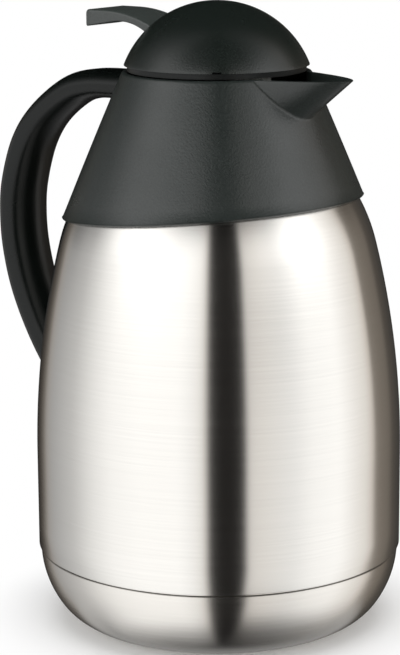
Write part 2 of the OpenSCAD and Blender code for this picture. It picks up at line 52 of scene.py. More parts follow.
def linearFromHex(text):
    parts = [int(text[i:i + 2], 16) / 255 for i in (1, 3, 5)]
    return [c / 12.92 if c <= 0.04045 else ((c + 0.055) / 1.055) ** 2.4 for c in parts] + [1.0]


def perMetre(size):
    # How often a pattern of this size in millimetres repeats in a metre
    return 1000 / size


def addNode(tree, kind, links=None, **settings):
    # links holds input sockets by name or number, each with a value, an output, or a node that stands
    # for its first output
    node = tree.nodes.new(kind)
    for name, value in settings.items():
        setattr(node, name, value)
    for name, value in (links or {}).items():
        value = value.outputs[0] if isinstance(value, bpy.types.Node) else value
        if isinstance(value, bpy.types.NodeSocket):
            tree.links.new(value, node.inputs[name])
        else:
            node.inputs[name].default_value = value
    return node


def emptyMaterial(name):
    material = bpy.data.materials.new(name)
    material.use_nodes = True
    material.node_tree.nodes.clear()
    return material, material.node_tree


def patternedBody(tree, pattern, look, sockets):
    # One pattern sets the tone between two colours and a fine relief
    tone = addNode(tree, "ShaderNodeMix", {
        mixFactor: pattern, colorA: linearFromHex(look["dark"]), colorB: linearFromHex(look["light"])},
        data_type="RGBA")
    relief = addNode(tree, "ShaderNodeBump", {
        "Height": pattern, "Strength": look["relief"], "Distance": look["depth"] / 1000})
    body = addNode(tree, "ShaderNodeBsdfPrincipled", {
        "Base Color": tone.outputs[mixedColor], "Normal": relief, **sockets})
    addNode(tree, "ShaderNodeOutputMaterial", {"Surface": body})


def brushedSteel(name, look):
    # Stainless steel turned against a fine abrasive belt: the hairlines run round the body, so a
    # highlight stays sharp from side to side and spreads up and down.
    material, tree = emptyMaterial(name)
    place = addNode(tree, "ShaderNodeTexCoord").outputs["Object"]
    # Belt hairlines are about 0.05 mm apart; drawn coarser so that they show at this size
    along, across = perMetre(look["hairLength"]), perMetre(look["hairSpacing"])
    hairPlace = addNode(tree, "ShaderNodeMapping", {"Vector": place, "Scale": (along, along, across)})
    hairs = addNode(tree, "ShaderNodeTexNoise", {
        "Vector": hairPlace, "Scale": 1.0, "Detail": 3.0, "Roughness": 0.6})
    smudges = addNode(tree, "ShaderNodeTexNoise", {
        "Vector": place, "Scale": perMetre(look["smudgeSize"]), "Detail": 2.0})
    hairRough = addNode(tree, "ShaderNodeMapRange", {
        "Value": hairs, "From Min": noiseLow, "From Max": noiseHigh,
        "To Min": look["roughness"] - look["spread"], "To Max": look["roughness"] + look["spread"]})
    rough = addNode(tree, "ShaderNodeMath", {
        0: smudges, 1: look["smudgeRough"], 2: hairRough}, operation="MULTIPLY_ADD")
    around = addNode(tree, "ShaderNodeTangent", direction_type="RADIAL", axis="Z")
    patternedBody(tree, hairs, look, {
        "Metallic": 1.0, "Roughness": rough, "Tangent": around, "Anisotropic": look["anisotropy"],
        "Anisotropic Rotation": 0.25})  # a quarter turn, so that it spreads up and down
    return material


def mouldedPlastic(name, look):
    # Polypropylene moulded in a spark-eroded tool, or silicone in a satin one: a fine even grain that
    # breaks the highlight up, with faint cloudy flow marks in its gloss.
    material, tree = emptyMaterial(name)
    place = addNode(tree, "ShaderNodeTexCoord").outputs["Object"]
    # Real grain is 0.1 to 0.2 mm; drawn coarser so that it shows at this size
    grain = addNode(tree, "ShaderNodeTexNoise", {
        "Vector": place, "Scale": perMetre(look["grainSize"]), "Detail": 2.0, "Roughness": 0.55})
    clouds = addNode(tree, "ShaderNodeTexNoise", {
        "Vector": place, "Scale": perMetre(look["flowSize"]), "Detail": 3.0})
    rough = addNode(tree, "ShaderNodeMapRange", {
        "Value": clouds, "From Min": noiseLow, "From Max": noiseHigh,
        "To Min": look["roughness"] - flowSpread, "To Max": look["roughness"] + flowSpread})
    patternedBody(tree, grain, look, {
        "Roughness": rough, "IOR": look["ior"], "Specular IOR Level": look["specular"]})
    return material


def plainSteel(name, look):
    # Bare stainless wire and sheet, drawn and left as it comes: soft gloss with short scratches
    material, tree = emptyMaterial(name)
    place = addNode(tree, "ShaderNodeTexCoord").outputs["Object"]
    marks = addNode(tree, "ShaderNodeTexNoise", {
        "Vector": place, "Scale": perMetre(look["markSize"]), "Detail": 4.0})
    rough = addNode(tree, "ShaderNodeMapRange", {
        "Value": marks, "To Min": look["roughness"] - look["spread"],
        "To Max": look["roughness"] + look["spread"]})
    patternedBody(tree, marks, look, {"Metallic": 1.0, "Roughness": rough})
    return material


def foamOrPellet(name, look):
    # Closed-cell foam, or the sintered pellet: small pits all over and no gloss
    material, tree = emptyMaterial(name)
    place = addNode(tree, "ShaderNodeTexCoord").outputs["Object"]
    cells = addNode(tree, "ShaderNodeTexVoronoi", {"Vector": place, "Scale": perMetre(look["cellSize"])})
    patternedBody(tree, cells.outputs["Distance"], look, {
        "Metallic": look["metallic"], "Roughness": look["roughness"]})
    return material


# Sizes, spacings and depths of the patterns are in millimetres; relief is how strongly they show
materials = {
    "brushed_outer_steel": brushedSteel("brushedBarrelSteel", {
        "dark": "#c4c2be", "light": "#cfcdc9", "roughness": 0.2, "spread": 0.015,
        "anisotropy": 0.9, "hairLength": 90, "hairSpacing": 0.55, "relief": 0.05, "depth": 0.02,
        "smudgeSize": 45, "smudgeRough": 0.03}),
    "brushed_base_steel": brushedSteel("brushedBaseSteel", {
        "dark": "#bfbcb7", "light": "#cac7c2", "roughness": 0.22, "spread": 0.015,
        "anisotropy": 0.88, "hairLength": 80, "hairSpacing": 0.5, "relief": 0.05, "depth": 0.02,
        "smudgeSize": 30, "smudgeRough": 0.03}),
    "inner_steel": brushedSteel("drawnLinerSteel", {
        "dark": "#c6c6c4", "light": "#dbdbd9", "roughness": 0.36, "spread": 0.04,
        "anisotropy": 0.5, "hairLength": 30, "hairSpacing": 1.2, "relief": 0.1, "depth": 0.02,
        "smudgeSize": 30, "smudgeRough": 0.05}),
    "bare_steel": plainSteel("bareWireSteel", {
        "dark": "#bdbdbb", "light": "#dcdcda", "roughness": 0.32, "spread": 0.06,
        "markSize": 0.8, "relief": 0.2, "depth": 0.02}),
    "getter_pellet": foamOrPellet("sinteredPellet", {
        "dark": "#4a4a4c", "light": "#66666a", "roughness": 0.8, "metallic": 0.6,
        "cellSize": 0.5, "relief": 0.6, "depth": 0.125}),
    "collar_plastic": mouldedPlastic("grainedCollarPolypropylene", {
        "dark": "#0e1311", "light": "#2a302e", "roughness": 0.3, "ior": 1.49, "specular": 0.5,
        "grainSize": 0.8, "depth": 0.1, "relief": 0.8, "flowSize": 14}),
    "handle_plastic": mouldedPlastic("satinHandlePolypropylene", {
        "dark": "#060908", "light": "#0f1311", "roughness": 0.25, "ior": 1.47, "specular": 0.22,
        "grainSize": 0.8, "depth": 0.08, "relief": 0.6, "flowSize": 18}),
    "dome_plastic": mouldedPlastic("grainedDomePolypropylene", {
        "dark": "#0b0f0d", "light": "#1e2421", "roughness": 0.25, "ior": 1.49, "specular": 0.37,
        "grainSize": 0.8, "depth": 0.1, "relief": 0.7, "flowSize": 14}),
    # The lever is the dome's black plastic; its lighter tone is painted light, for the light falling on its
    # top and side.
    "lever_plastic": mouldedPlastic("leverPolypropyleneWithPaintedLight", {
        "dark": "#2b302e", "light": "#414644", "roughness": 0.3, "ior": 1.49, "specular": 0.5,
        "grainSize": 0.8, "depth": 0.08, "relief": 0.6, "flowSize": 12}),
    # The frame is black plastic, drawn darker and duller still: painted shade for the deep gap under the
    # dome, where its side shows.
    "frame_plastic": mouldedPlastic("frameShadeDarkenedPolypropylene", {
        "dark": "#0c0e0d", "light": "#191c1b", "roughness": 0.4, "ior": 1.49, "specular": 0.2,
        "grainSize": 0.5, "depth": 0.03, "relief": 0.35, "flowSize": 12}),
    "stopper_plastic": mouldedPlastic("satinStopperPolypropylene", {
        "dark": "#2a2c2b", "light": "#343635", "roughness": 0.44, "ior": 1.49, "specular": 0.5,
        "grainSize": 0.5, "depth": 0.03, "relief": 0.35, "flowSize": 12}),
    "stopper_insulation": foamOrPellet("stopperFoam", {
        "dark": "#d8cfb6", "light": "#f0e8d2", "roughness": 0.9, "metallic": 0.0,
        "cellSize": 1.1, "relief": 0.6, "depth": 0.275}),
    "seal_silicone": mouldedPlastic("mouldedSilicone", {
        "dark": "#dcdcd6", "light": "#e8e8e3", "roughness": 0.4, "ior": 1.41, "specular": 0.5,
        "grainSize": 1.2, "depth": 0.02, "relief": 0.25, "flowSize": 9}),
}
slotOfNode = {row["node"]: row["material_slot"] for row in frame["record"]["subparts"]}
print("materials made")


def addObject(name, data):
    added = bpy.data.objects.new(name, data)
    bpy.context.scene.collection.objects.link(added)
    return added


def bareMesh(name, points, faces):
    mesh = bpy.data.meshes.new(name)
    mesh.from_pydata([(x / 1000, y / 1000, z / 1000) for x, y, z in points], [], faces)
    mesh.validate()
    return addObject(name, mesh)


def smoothShade(piece, sharpAngle):
    piece.data.polygons.foreach_set("use_smooth", [True] * len(piece.data.polygons))
    piece.data.set_sharp_from_angle(angle=radians(sharpAngle))


def buildPiece(name, points, faces, body, slot, replaced=(), sharpAngle=32):
    piece = bareMesh(name, points, faces)
    piece.data.materials.append(materials[slot])
    smoothShade(piece, sharpAngle)
    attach(piece, body)
    if replaced:
        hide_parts(*replaced)
    return piece


def cutAway(piece, cutters, sharpAngle=32):
    for cutter in cutters:
        cut = piece.modifiers.new("cut", "BOOLEAN")
        cut.object = cutter
        cut.operation = "DIFFERENCE"
        cut.solver = "EXACT"
    bpy.context.view_layer.update()
    shaped = piece.evaluated_get(bpy.context.evaluated_depsgraph_get())
    mesh = bpy.data.meshes.new_from_object(shaped)
    piece.modifiers.clear()
    mesh.name = piece.name
    piece.data = mesh
    smoothShade(piece, sharpAngle)
    for cutter in cutters:
        bpy.data.objects.remove(cutter)


def flipped(faces):
    return [face[::-1] for face in faces]


def ringFaces(rings, count, closed):
    # Quads between rings of count points each; closed joins the last ring to the first
    faces = []
    for i in range(rings if closed else rings - 1):
        a, b = i * count, ((i + 1) % rings) * count
        for k in range(count):
            m = (k + 1) % count
            faces.append((a + k, a + m, b + m, b + k))
    return faces


def tubeFaces(rings, count):
    # Open rings with a cap over each end
    caps = [tuple(range(count - 1, -1, -1)), tuple((rings - 1) * count + k for k in range(count))]
    return ringFaces(rings, count, False) + caps


def turned(profile, steps=256):
    # Points and faces of a profile turned round the axis; a profile point at radius 0 is one point
    angles = [2 * pi * k / steps for k in range(steps)]
    points, rows = [], []
    for r, z in profile:
        if r < 1e-6:
            rows.append([len(points)])
            points.append((0, 0, z))
        else:
            rows.append(list(range(len(points), len(points) + steps)))
            points += [(r * cos(a), r * sin(a), z) for a in angles]
    faces = []
    closed = len(rows[0]) > 1 and len(rows[-1]) > 1
    for i in range(len(rows) if closed else len(rows) - 1):
        a, b = rows[i], rows[(i + 1) % len(rows)]
        for k in range(steps):
            m = (k + 1) % steps
            if len(a) == 1:
                faces.append((a[0], b[m], b[k]))
            elif len(b) == 1:
                faces.append((a[k], a[m], b[0]))
            else:
                faces.append((a[k], a[m], b[m], b[k]))
    return points, faces


def prism(outline, halfWidth):
    # A closed shape from an outline in X and Z, as wide as halfWidth to each side
    n = len(outline)
    points = [(x, -halfWidth, z) for x, z in outline] + [(x, halfWidth, z) for x, z in outline]
    faces = [tuple(range(n)), tuple(range(2 * n - 1, n - 1, -1))]
    faces += [(k, k + n, (k + 1) % n + n, (k + 1) % n) for k in range(n)]
    return points, faces


def evenly(start, end, steps):
    # Equal steps from start to end, without start itself
    return [start + (end - start) * i / steps for i in range(1, steps + 1)]


def arcPoints(centre, radius, start, end, steps, first=False):
    # Points on an arc between two angles in degrees; first says whether the starting point is in it
    angles = [radians(a) for a in ([start] if first else []) + evenly(start, end, steps)]
    return [(centre[0] + radius * cos(a), centre[1] + radius * sin(a)) for a in angles]


def clampedRoot(value):
    return sqrt(max(value, 0.0))


barrel = {
    "radius": 75, "seam": 32, "belly": 71, "shoulder": 158, "wall": 0.8,
    "curve": 359.04, "curveEnd": 14.02,  # the long arc from belly to shoulder: radius and last angle
    "shoulderCentre": (-8.466, 139.83), "shoulderRadius": 75,
    "neckCentre": (40.5, 204.35), "neckHollow": 6, "mouth": 208.05,
    "edge": 0.35, "edgeMiddle": 0.3,  # rounding at the seam, and its middle point as a share
    "rings": (10, 25), "steps": (32, 40, 12)}  # more rings, this far above the seam; arc steps


def steelRadius(z):
    # Outside radius of the steel at height z, up to the shoulder's end
    if z <= barrel["belly"]:
        return barrel["radius"]
    if z <= barrel["shoulder"]:
        rise = z - barrel["belly"]
        return barrel["radius"] - barrel["curve"] + sqrt(barrel["curve"] ** 2 - rise ** 2)
    centre = barrel["shoulderCentre"]
    return centre[0] + clampedRoot(barrel["shoulderRadius"] ** 2 - (z - centre[1]) ** 2)


def barrelSide(inset):
    # Profile from the belly up to the mouth, this far inside the outer face
    shoulder, neck, hollow = barrel["shoulderCentre"], barrel["neckCentre"], barrel["neckHollow"] + inset
    turn = degrees(atan2(neck[1] - shoulder[1], neck[0] - shoulder[0]))
    bellySteps, shoulderSteps, neckSteps = barrel["steps"]
    return (arcPoints((barrel["radius"] - barrel["curve"], barrel["belly"]), barrel["curve"] - inset,
                      0, barrel["curveEnd"], bellySteps, first=True)
            + arcPoints(shoulder, barrel["shoulderRadius"] - inset, barrel["curveEnd"], turn, shoulderSteps)
            + arcPoints(neck, hollow, 180 + turn, 180, neckSteps)
            + [(neck[0] - hollow, barrel["mouth"] - barrel["wall"])])


def makeBarrel():
    edge, low, out = barrel["edge"], barrel["seam"], barrel["radius"]
    soft = edge * barrel["edgeMiddle"]
    lowEdge = [(out - barrel["wall"], low), (out - edge, low), (out - soft, low + soft), (out, low + edge)]
    lowEdge += [(out, low + up) for up in barrel["rings"]]
    points, faces = turned(lowEdge + barrelSide(0) + barrelSide(barrel["wall"])[::-1])
    buildPiece("outerShell", points, faces, "jug", "brushed_outer_steel", ["outer_shell"])


baseCup = {
    "radius": 74.2, "lap": 4, "wall": 0.8,
    "groove": 0.9, "grooveDeep": 0.7, "grooveCorner": (0.6, 0.8),  # its corner, as shares of depth, height
    "sideCentre": (34.975, 32), "sideRadius": 39.225, "sideStart": -1.8, "sideEnd": -35.49,
    "footCentre": (49, 22), "footRadius": 22, "steps": (24, 20),
    "ring": 43, "slope": 5, "recess": 4, "hole": 3,
    "softRun": 1.2, "softRise": 0.5, "softDrop": 0.4}  # rounding at both ends of the recess's slope


def cupSide(inset):
    # Profile from the lap down the groove and the side, round the foot and in over the recessed plate
    seam, groove, deep = barrel["seam"], baseCup["groove"], baseCup["grooveDeep"]
    bead, corner = baseCup["radius"] - deep - inset, baseCup["grooveCorner"]
    ring, plate, run = baseCup["ring"] - inset, baseCup["recess"] + inset, baseCup["softRun"]
    start, end, (sideSteps, footSteps) = baseCup["sideStart"], baseCup["sideEnd"], baseCup["steps"]
    side, foot = baseCup["sideRadius"] - inset, baseCup["footRadius"] - inset
    return ([(bead, seam + baseCup["lap"]), (bead, seam - groove * corner[1]),
             (bead + deep * corner[0], seam - groove)]
            + arcPoints(baseCup["sideCentre"], side, start, end, sideSteps, first=True)
            + arcPoints(baseCup["footCentre"], foot, end, -90, footSteps)
            + [(ring, inset), (ring - run, inset + baseCup["softRise"]),
               (ring - baseCup["slope"], plate - baseCup["softDrop"]),
               (ring - baseCup["slope"] - run, plate), (baseCup["hole"], plate)])


def makeBaseCup():
    points, faces = turned(cupSide(0) + cupSide(baseCup["wall"])[::-1])
    buildPiece("baseCup", points, faces, "jug", "brushed_base_steel", ["base_cup"])


makeBarrel()
makeBaseCup()
print("steel body made")

collar = {
    "rim": 38, "rimHeight": 227.05, "rimEdge": 0.5, "edgeMiddle": 0.3, "wall": 2.61,
    "slope": 0.4229, "swell": 0.2, "swellHeight": 55, "steelGap": 0.2,
    "edgeHeight": 172, "edgeSlant": 0.0945, "edgeRounds": 12,  # height at the axis, rise to the front
    "lip": 1.4, "lipCurve": [(1.1, 0), (0.72, 0.06), (0.34, 0.26), (0.1, 0.6)],  # shares in and up
    "well": 35.8, "floor": 218.05, "floorFillet": 1.0, "web": 216.05,
    "sleeve": 33.05, "sleeveOut": 35.5, "sleeveLow": 209.45, "sleeveMouth": 0.6, "mouthTurn": (0.15, 0.25),
    "threadPitch": 3.6, "threadDepth": 1.1, "threadTop": 0.8, "threadFoot": 0.4, "threadSteps": 22,
    "threadFade": 3, "coneSteps": 6, "wellSteps": 9, "floorSteps": 3, "backSteps": 8,
    "backOut": 0.5, "backOver": 0.01}
spout = {
    "foot": (57.16, 253.18), "lean": 17.5, "half": 20.7,  # the oval cone's start in X and Z, and angles
    "tip": 27.4, "oval": 0.552, "innerTip": 25.262, "innerOval": 0.5278,
    "lowest": 203.05, "straightTop": 202.0, "steps": 44,
    "blend": 0.8, "blendHeight": 3, "leastBlend": 0.01, "innerBlend": 2.0,
    "angleSteps": [(12, 0.4), (30, 0.75), (70, 1.25), (180, 2.5)]}  # up to each angle, steps of so much


def coneRadius(z):
    # A straight cone that swells a little between its rim and its lower edge
    down = collar["rimHeight"] - z
    share = min(max(down / collar["swellHeight"], 0.0), 1.0)
    return collar["rim"] + down * collar["slope"] + 4 * collar["swell"] * share * (1 - share)


def spoutRadius(angle, z, tip, oval):
    # Distance out from the axis to the spout's oval cone, in the direction of angle at height z: the
    # larger root of a r^2 + b r + c = 0, or 0 where the cone isn't met
    lean, grow = radians(spout["lean"]), tan(radians(spout["half"]))
    axis = (-cos(lean), -sin(lean))
    across = (cos(angle), sin(angle) / oval)
    start = (-spout["foot"][0], z - spout["foot"][1])
    startAlong = start[0] * axis[0] + start[1] * axis[1]
    acrossAlong = across[0] * axis[0]
    wide = tip + grow * startAlong
    a = across[0] ** 2 + across[1] ** 2 - acrossAlong * acrossAlong * (1 + grow * grow)
    b = 2 * start[0] * across[0] - 2 * startAlong * acrossAlong - 2 * grow * acrossAlong * wide
    c = start[0] ** 2 + start[1] ** 2 - startAlong * startAlong - wide * wide
    if c >= 0 or b * b - 4 * a * c < 0 or cos(angle) <= 0:
        return 0.0
    return (-b + sqrt(b * b - 4 * a * c)) / (2 * a)


def smoothMax(a, b, width):
    # The larger of two values, rounded over where they are closer than width
    near = max(width - abs(a - b), 0) / width
    return max(a, b) + near * near * width / 4


def collarOuter(angle, z):
    cone = coneRadius(z)
    if z < spout["lowest"]:
        return cone
    reach = spoutRadius(angle, z, spout["tip"], spout["oval"])
    fade = min(max((z - spout["lowest"]) / spout["blendHeight"], 0), 1)
    return cone if reach <= 0 else smoothMax(cone, reach, spout["leastBlend"] + spout["blend"] * fade)


def collarInner(angle, z):
    reach = spoutRadius(angle, z, spout["innerTip"], spout["innerOval"])
    return collar["well"] if reach <= 0 else smoothMax(collar["well"], reach, spout["innerBlend"])


def lowerEdge(angle):
    # The edge slants and the cone widens on the way down, so its height is found in a few rounds
    low = collar["edgeHeight"]
    for i in range(collar["edgeRounds"]):
        low = collar["edgeHeight"] + collar["edgeSlant"] * coneRadius(low) * cos(angle)
    return low


def outsideFace(angle, low):
    # Up from the rounded lower lip over cone and spout, and across the rim
    lip, rim, edge = collar["lip"], collar["rimHeight"], collar["rimEdge"]
    soft, straight = edge * collar["edgeMiddle"], spout["straightTop"]
    face = [(coneRadius(low) - lip * inward, low + lip * up) for inward, up in collar["lipCurve"]]
    face.append((coneRadius(low + lip), low + lip))
    face += [(coneRadius(z), z) for z in evenly(low + lip, straight, collar["coneSteps"])]
    face += [(collarOuter(angle, z), z) for z in evenly(straight, rim - edge, spout["steps"])]
    face += [(collarOuter(angle, rim - soft) - soft, rim - soft), (collarOuter(angle, rim) - edge, rim)]
    return face + [(collarInner(angle, rim) + edge, rim),
                   (collarInner(angle, rim - soft) + soft, rim - soft)]


def wellFace(angle):
    # Down the pouring well and in over its floor to the sleeve's mouth
    fillet, floor, top = collar["floorFillet"], collar["floor"], collar["rimHeight"] - collar["rimEdge"]
    soft, foot, turn = fillet * collar["edgeMiddle"], collarInner(angle, floor), collar["mouthTurn"]
    heights = [top] + evenly(top, floor + fillet, collar["wellSteps"])
    face = [(collarInner(angle, z), z) for z in heights]
    face += [(foot - soft, floor + soft), (foot - fillet, floor)]
    mouth = collar["sleeve"] + collar["sleeveMouth"]
    face += [(r, floor) for r in evenly(foot - fillet, mouth, collar["floorSteps"])]
    return face + [(collar["sleeve"] + turn[0], floor - turn[1])]


def sleeveFace(angle):
    # Down the sleeve, with a groove that winds round it and fades out at both ends, and up its outside
    sleeve, steps, deep = collar["sleeve"], collar["threadSteps"], collar["threadDepth"]
    top, low = collar["floor"] - collar["threadTop"], collar["sleeveLow"] + collar["threadFoot"]
    face = []
    for i, z in enumerate([top] + evenly(top, low, steps)):
        turn = (z / collar["threadPitch"] - angle / (2 * pi)) % 1.0
        fade = min(i, steps - i, collar["threadFade"]) / collar["threadFade"]
        face.append((sleeve + fade * deep * (0.5 - 0.5 * cos(2 * pi * turn)), z))
    out = collar["sleeveOut"]
    return face + [(sleeve, collar["sleeveLow"]), (out, collar["sleeveLow"]), (out, collar["web"])]


def backFace(low):
    # Down the hidden side of the cone's wall, clear of the steel
    web, wall = collar["web"], collar["wall"]
    face = [(max(coneRadius(web) - wall, collar["sleeveOut"] + collar["backOut"]), web)]
    return face + [(max(coneRadius(z) - wall, steelRadius(z) + collar["steelGap"]), z)
                   for z in evenly(web, low + collar["backOver"], collar["backSteps"])]


def collarAngles():
    # Close together round the spout's tip, wider apart elsewhere
    half, at = [], 0.0
    for end, step in spout["angleSteps"]:
        while at < end - 1e-6:
            half.append(at)
            at += step
    return [radians(a) for a in half + [180.0] + [-a for a in half[:0:-1]]]


def makeCollar():
    loops = []  # closed sections (radius, height) through the wall, one at each angle
    angles = collarAngles()
    for angle in angles:
        low = lowerEdge(angle)
        loops.append(outsideFace(angle, low) + wellFace(angle) + sleeveFace(angle) + backFace(low))
    points = [(r * cos(a), r * sin(a), z) for a, loop in zip(angles, loops) for r, z in loop]
    faces = flipped(ringFaces(len(loops), len(loops[0]), True))
    buildPiece("collar", points, faces, "jug", "collar_plastic", ["collar"])


makeCollar()
print("collar made")

handle = {
    "rootHeight": 218.65, "reach": 31.95, "thick": 16, "width": 24.2, "rootThick": 12.4, "gap": 0.15,
    "power": 0.98,  # 1 is an ellipse, less is squarer
    # Stations down the handle's middle. At the root: out from the collar, down, narrower by
    "rootPath": [(-6, 0, 1), (6, 0, 1), (20.5, 0.7, 0.8)],
    # At the bend: out from the body's side, down, thicker than the root by, narrower by
    "bend": (0, 4.5, 0.6, 0.5),
    # Round the grip: in from its furthest reach, down, thinner by, narrower by
    "gripPath": [(17, 15.3, 1, 0), (7.3, 28.3, 0.3, 0), (1.3, 46, 0, 0), (0, 60, 0, 0), (1.2, 74, 0, 0),
                 (5.35, 90, 0, 0), (12.9, 107, 0.3, 0.3), (22.7, 123, 0.6, 1), (34, 137, 1, 2)],
    "ringPoints": 56, "perStation": 9, "firstRings": [0.5, 0.58, 0.7, 0.85], "near": 0.02,
    "rootStations": 3, "footStations": 2, "sharp": 40,  # how many stations are held to collar and steel
    "screwHole": 4.3, "screwHeight": 94.65, "screwFloor": 83.16, "holeEnd": 130, "holeSteps": 48}


def handleStations():
    # Each one: out from the body's side, down from the root's height, half thickness, half width
    thick, wide, root = handle["thick"] / 2, handle["width"] / 2, handle["rootThick"] / 2
    start = coneRadius(handle["rootHeight"]) - barrel["radius"]
    out, down, thicker, narrower = handle["bend"]
    return ([(start + out, down, root, wide - narrower) for out, down, narrower in handle["rootPath"]]
            + [(out, down, root + thicker, wide - narrower)]
            + [(handle["reach"] - inward, down, thick - thinner, wide - narrower)
               for inward, down, thinner, narrower in handle["gripPath"]])


def smoothAt(stations, t):
    # A smooth curve through all stations; t is a station's number or lies between two
    i = min(int(t), len(stations) - 2)
    u = t - i
    a, b = stations[max(i - 1, 0)], stations[i]
    c, d = stations[i + 1], stations[min(i + 2, len(stations) - 1)]
    return [0.5 * (2 * q + (r - p) * u + (2 * p - 5 * q + 4 * r - s) * u * u
                   + (3 * q - p - 3 * r + s) * u ** 3) for p, q, r, s in zip(a, b, c, d)]


def squared(value):
    # A sine or cosine of the section's angle, bent a little towards a square
    return copysign(abs(value) ** handle["power"], value)


def handleRing(stations, t):
    # The section at t, square to the handle's run there
    out, down, thick, wide = smoothAt(stations, t)
    ahead, behind = smoothAt(stations, t + handle["near"]), smoothAt(stations, t - handle["near"])
    run = (behind[0] - ahead[0], behind[1] - ahead[1])
    length = hypot(*run)
    side = (-run[1] / length, run[0] / length)
    ring = []
    for k in range(handle["ringPoints"]):
        a = -2 * pi * k / handle["ringPoints"]
        c, s = squared(cos(a)), squared(sin(a))
        ring.append((-(barrel["radius"] + out) + side[0] * thick * c, wide * s,
                     handle["rootHeight"] - down + side[1] * thick * c))
    return ring


def seatedPoint(point, t, last):
    # Keeps the handle outside the collar at its root and the steel at its foot
    x, y, z = point
    onCollar = -clampedRoot((coneRadius(z) + handle["gap"]) ** 2 - y * y)
    onSteel = -clampedRoot((steelRadius(z) + handle["gap"]) ** 2 - y * y)
    if t <= handle["firstRings"][0]:
        return (onCollar, y, z)
    if t < handle["rootStations"]:
        return (min(x, onCollar), y, z)
    if t >= last:
        return (onSteel, y, z)
    return (min(x, onSteel), y, z) if t > last - handle["footStations"] else point


def makeHandle():
    stations = handleStations()
    last, per, sharp = len(stations) - 1, handle["perStation"], handle["sharp"]
    times = handle["firstRings"] + [i / per for i in range(per, last * per + 1)]
    rings = [[seatedPoint(p, t, last) for p in handleRing(stations, t)] for t in times]
    faces = tubeFaces(len(rings), handle["ringPoints"])
    points = [p for ring in rings for p in ring]
    piece = buildPiece("handle", points, faces, "jug", "handle_plastic", ["handle"], sharp)
    floor, hole, end = handle["screwFloor"], handle["screwHole"], handle["holeEnd"]
    drill, drillFaces = turned([(0, floor), (hole, floor), (hole, end), (0, end)], handle["holeSteps"])
    drill = [(-z, y, handle["screwHeight"] + x) for x, y, z in drill]
    cutAway(piece, [bareMesh("screwHoleTool", drill, drillFaces)], sharp)


makeHandle()
print("handle made")

dome = {
    "radius": 40.1, "centre": 215.0, "cut": 229.551, "wall": 2.2, "edge": 0.5, "edgeMiddle": 0.28,
    "outerSteps": 44, "innerSteps": 40, "turnSteps": 240, "cutBelow": 3,
    "notchSpan": (-60, 0), "hingeNotch": 13.0, "notchTop": 233.951,
    "markSpan": (30, 45), "markBearing": -52, "markWidth": 3.6, "markHeight": 0.8}
lever = {
    "end": -61, "top": 249.65, "bend": -49, "topCurve": 60, "inner": -22, "halfWidth": 11.5,
    "nose": 3.5, "corner": 4, "edge": 0.9, "leastEdge": 0.05, "edgeSpare": 0.02,
    "lowX": -45, "lowZ": 245.05, "lowSlope": 9.5, "lowCurve": 24.6,
    "gap": 0.15, "slotOver": 4, "slotSteps": 24,
    "edgeAngles": (0, 20, 40, 60, 80), "cornerSteps": 5, "noseLength": 4.2, "noseSteps": 10, "steps": 44,
    "sharp": 40}


def leverTop(x, grow=0.0):
    # Flat from the end to the bend, and then an arc down into the dome
    if x <= lever["bend"]:
        return lever["top"] + grow
    curve = lever["topCurve"]
    return lever["top"] - curve + sqrt((curve + grow) ** 2 - (x - lever["bend"]) ** 2)


def leverLow(x, grow=0.0):
    # A straight slope from the end that runs into an arc
    slope, curve = radians(lever["lowSlope"]), lever["lowCurve"]
    if x <= lever["lowX"]:
        return lever["lowZ"] - grow - (lever["lowX"] - x) * tan(slope)
    centre = (lever["lowX"] + curve * sin(slope), lever["lowZ"] - curve * cos(slope))
    return centre[1] + clampedRoot((curve - grow) ** 2 - (x - centre[0]) ** 2)


def leverSlotTool():
    # The opening for the lever in the dome's back
    grow = lever["gap"]
    xs = [lever["bend"]] + evenly(lever["bend"], lever["inner"] + lever["slotOver"], lever["slotSteps"])
    outline = [(x, leverTop(x, grow)) for x in xs] + [(x, leverLow(x, grow)) for x in xs[::-1]]
    return bareMesh("leverSlotTool", *prism(outline, lever["halfWidth"] + grow))


def rimBlock(name, span, top, halfWidth, bearing=0):
    # A cutter through the dome's rim up to this height, turned to a bearing
    low, turn = dome["cut"] - dome["cutBelow"], radians(bearing)
    c, s = cos(turn), sin(turn)
    points, faces = prism([(span[0], low), (span[1], low), (span[1], top), (span[0], top)], halfWidth)
    return bareMesh(name, [(x * c - y * s, x * s + y * c, z) for x, y, z in points], faces)


def makeDome():
    centre, radius, cut, edge = dome["centre"], dome["radius"], dome["cut"], dome["edge"]
    inner, soft, rise = radius - dome["wall"], edge * dome["edgeMiddle"], cut + edge - centre
    outAngle, inAngle = degrees(asin(rise / radius)), degrees(asin(rise / inner))
    rimOut = sqrt(radius * radius - (cut - centre) ** 2)
    rimIn = sqrt(inner * inner - (cut - centre) ** 2)
    profile = ([(0, centre + radius)] + arcPoints((0, centre), radius, 90, outAngle, dome["outerSteps"])
               + [(rimOut - soft, cut + soft), (rimOut - edge, cut), (rimIn + edge, cut),
                  (rimIn + soft, cut + soft)]
               + arcPoints((0, centre), inner, inAngle, 90, dome["innerSteps"], first=True))
    points, faces = turned(profile, dome["turnSteps"])
    piece = buildPiece("lidDome", points, flipped(faces), "lid", "dome_plastic", ["lid_dome"])
    notch = rimBlock("hingeNotchTool", dome["notchSpan"], dome["notchTop"], dome["hingeNotch"])
    mark = rimBlock("rimMarkTool", dome["markSpan"], cut + dome["markHeight"], dome["markWidth"] / 2,
                    dome["markBearing"])  # the small mark that shows from the front
    cutAway(piece, [leverSlotTool(), notch, mark])


def shortenedBy(radius, out):
    # How far a corner of this radius draws in at a distance out from its start
    return radius - clampedRoot(radius ** 2 - (radius - out) ** 2) if out < radius else 0.0


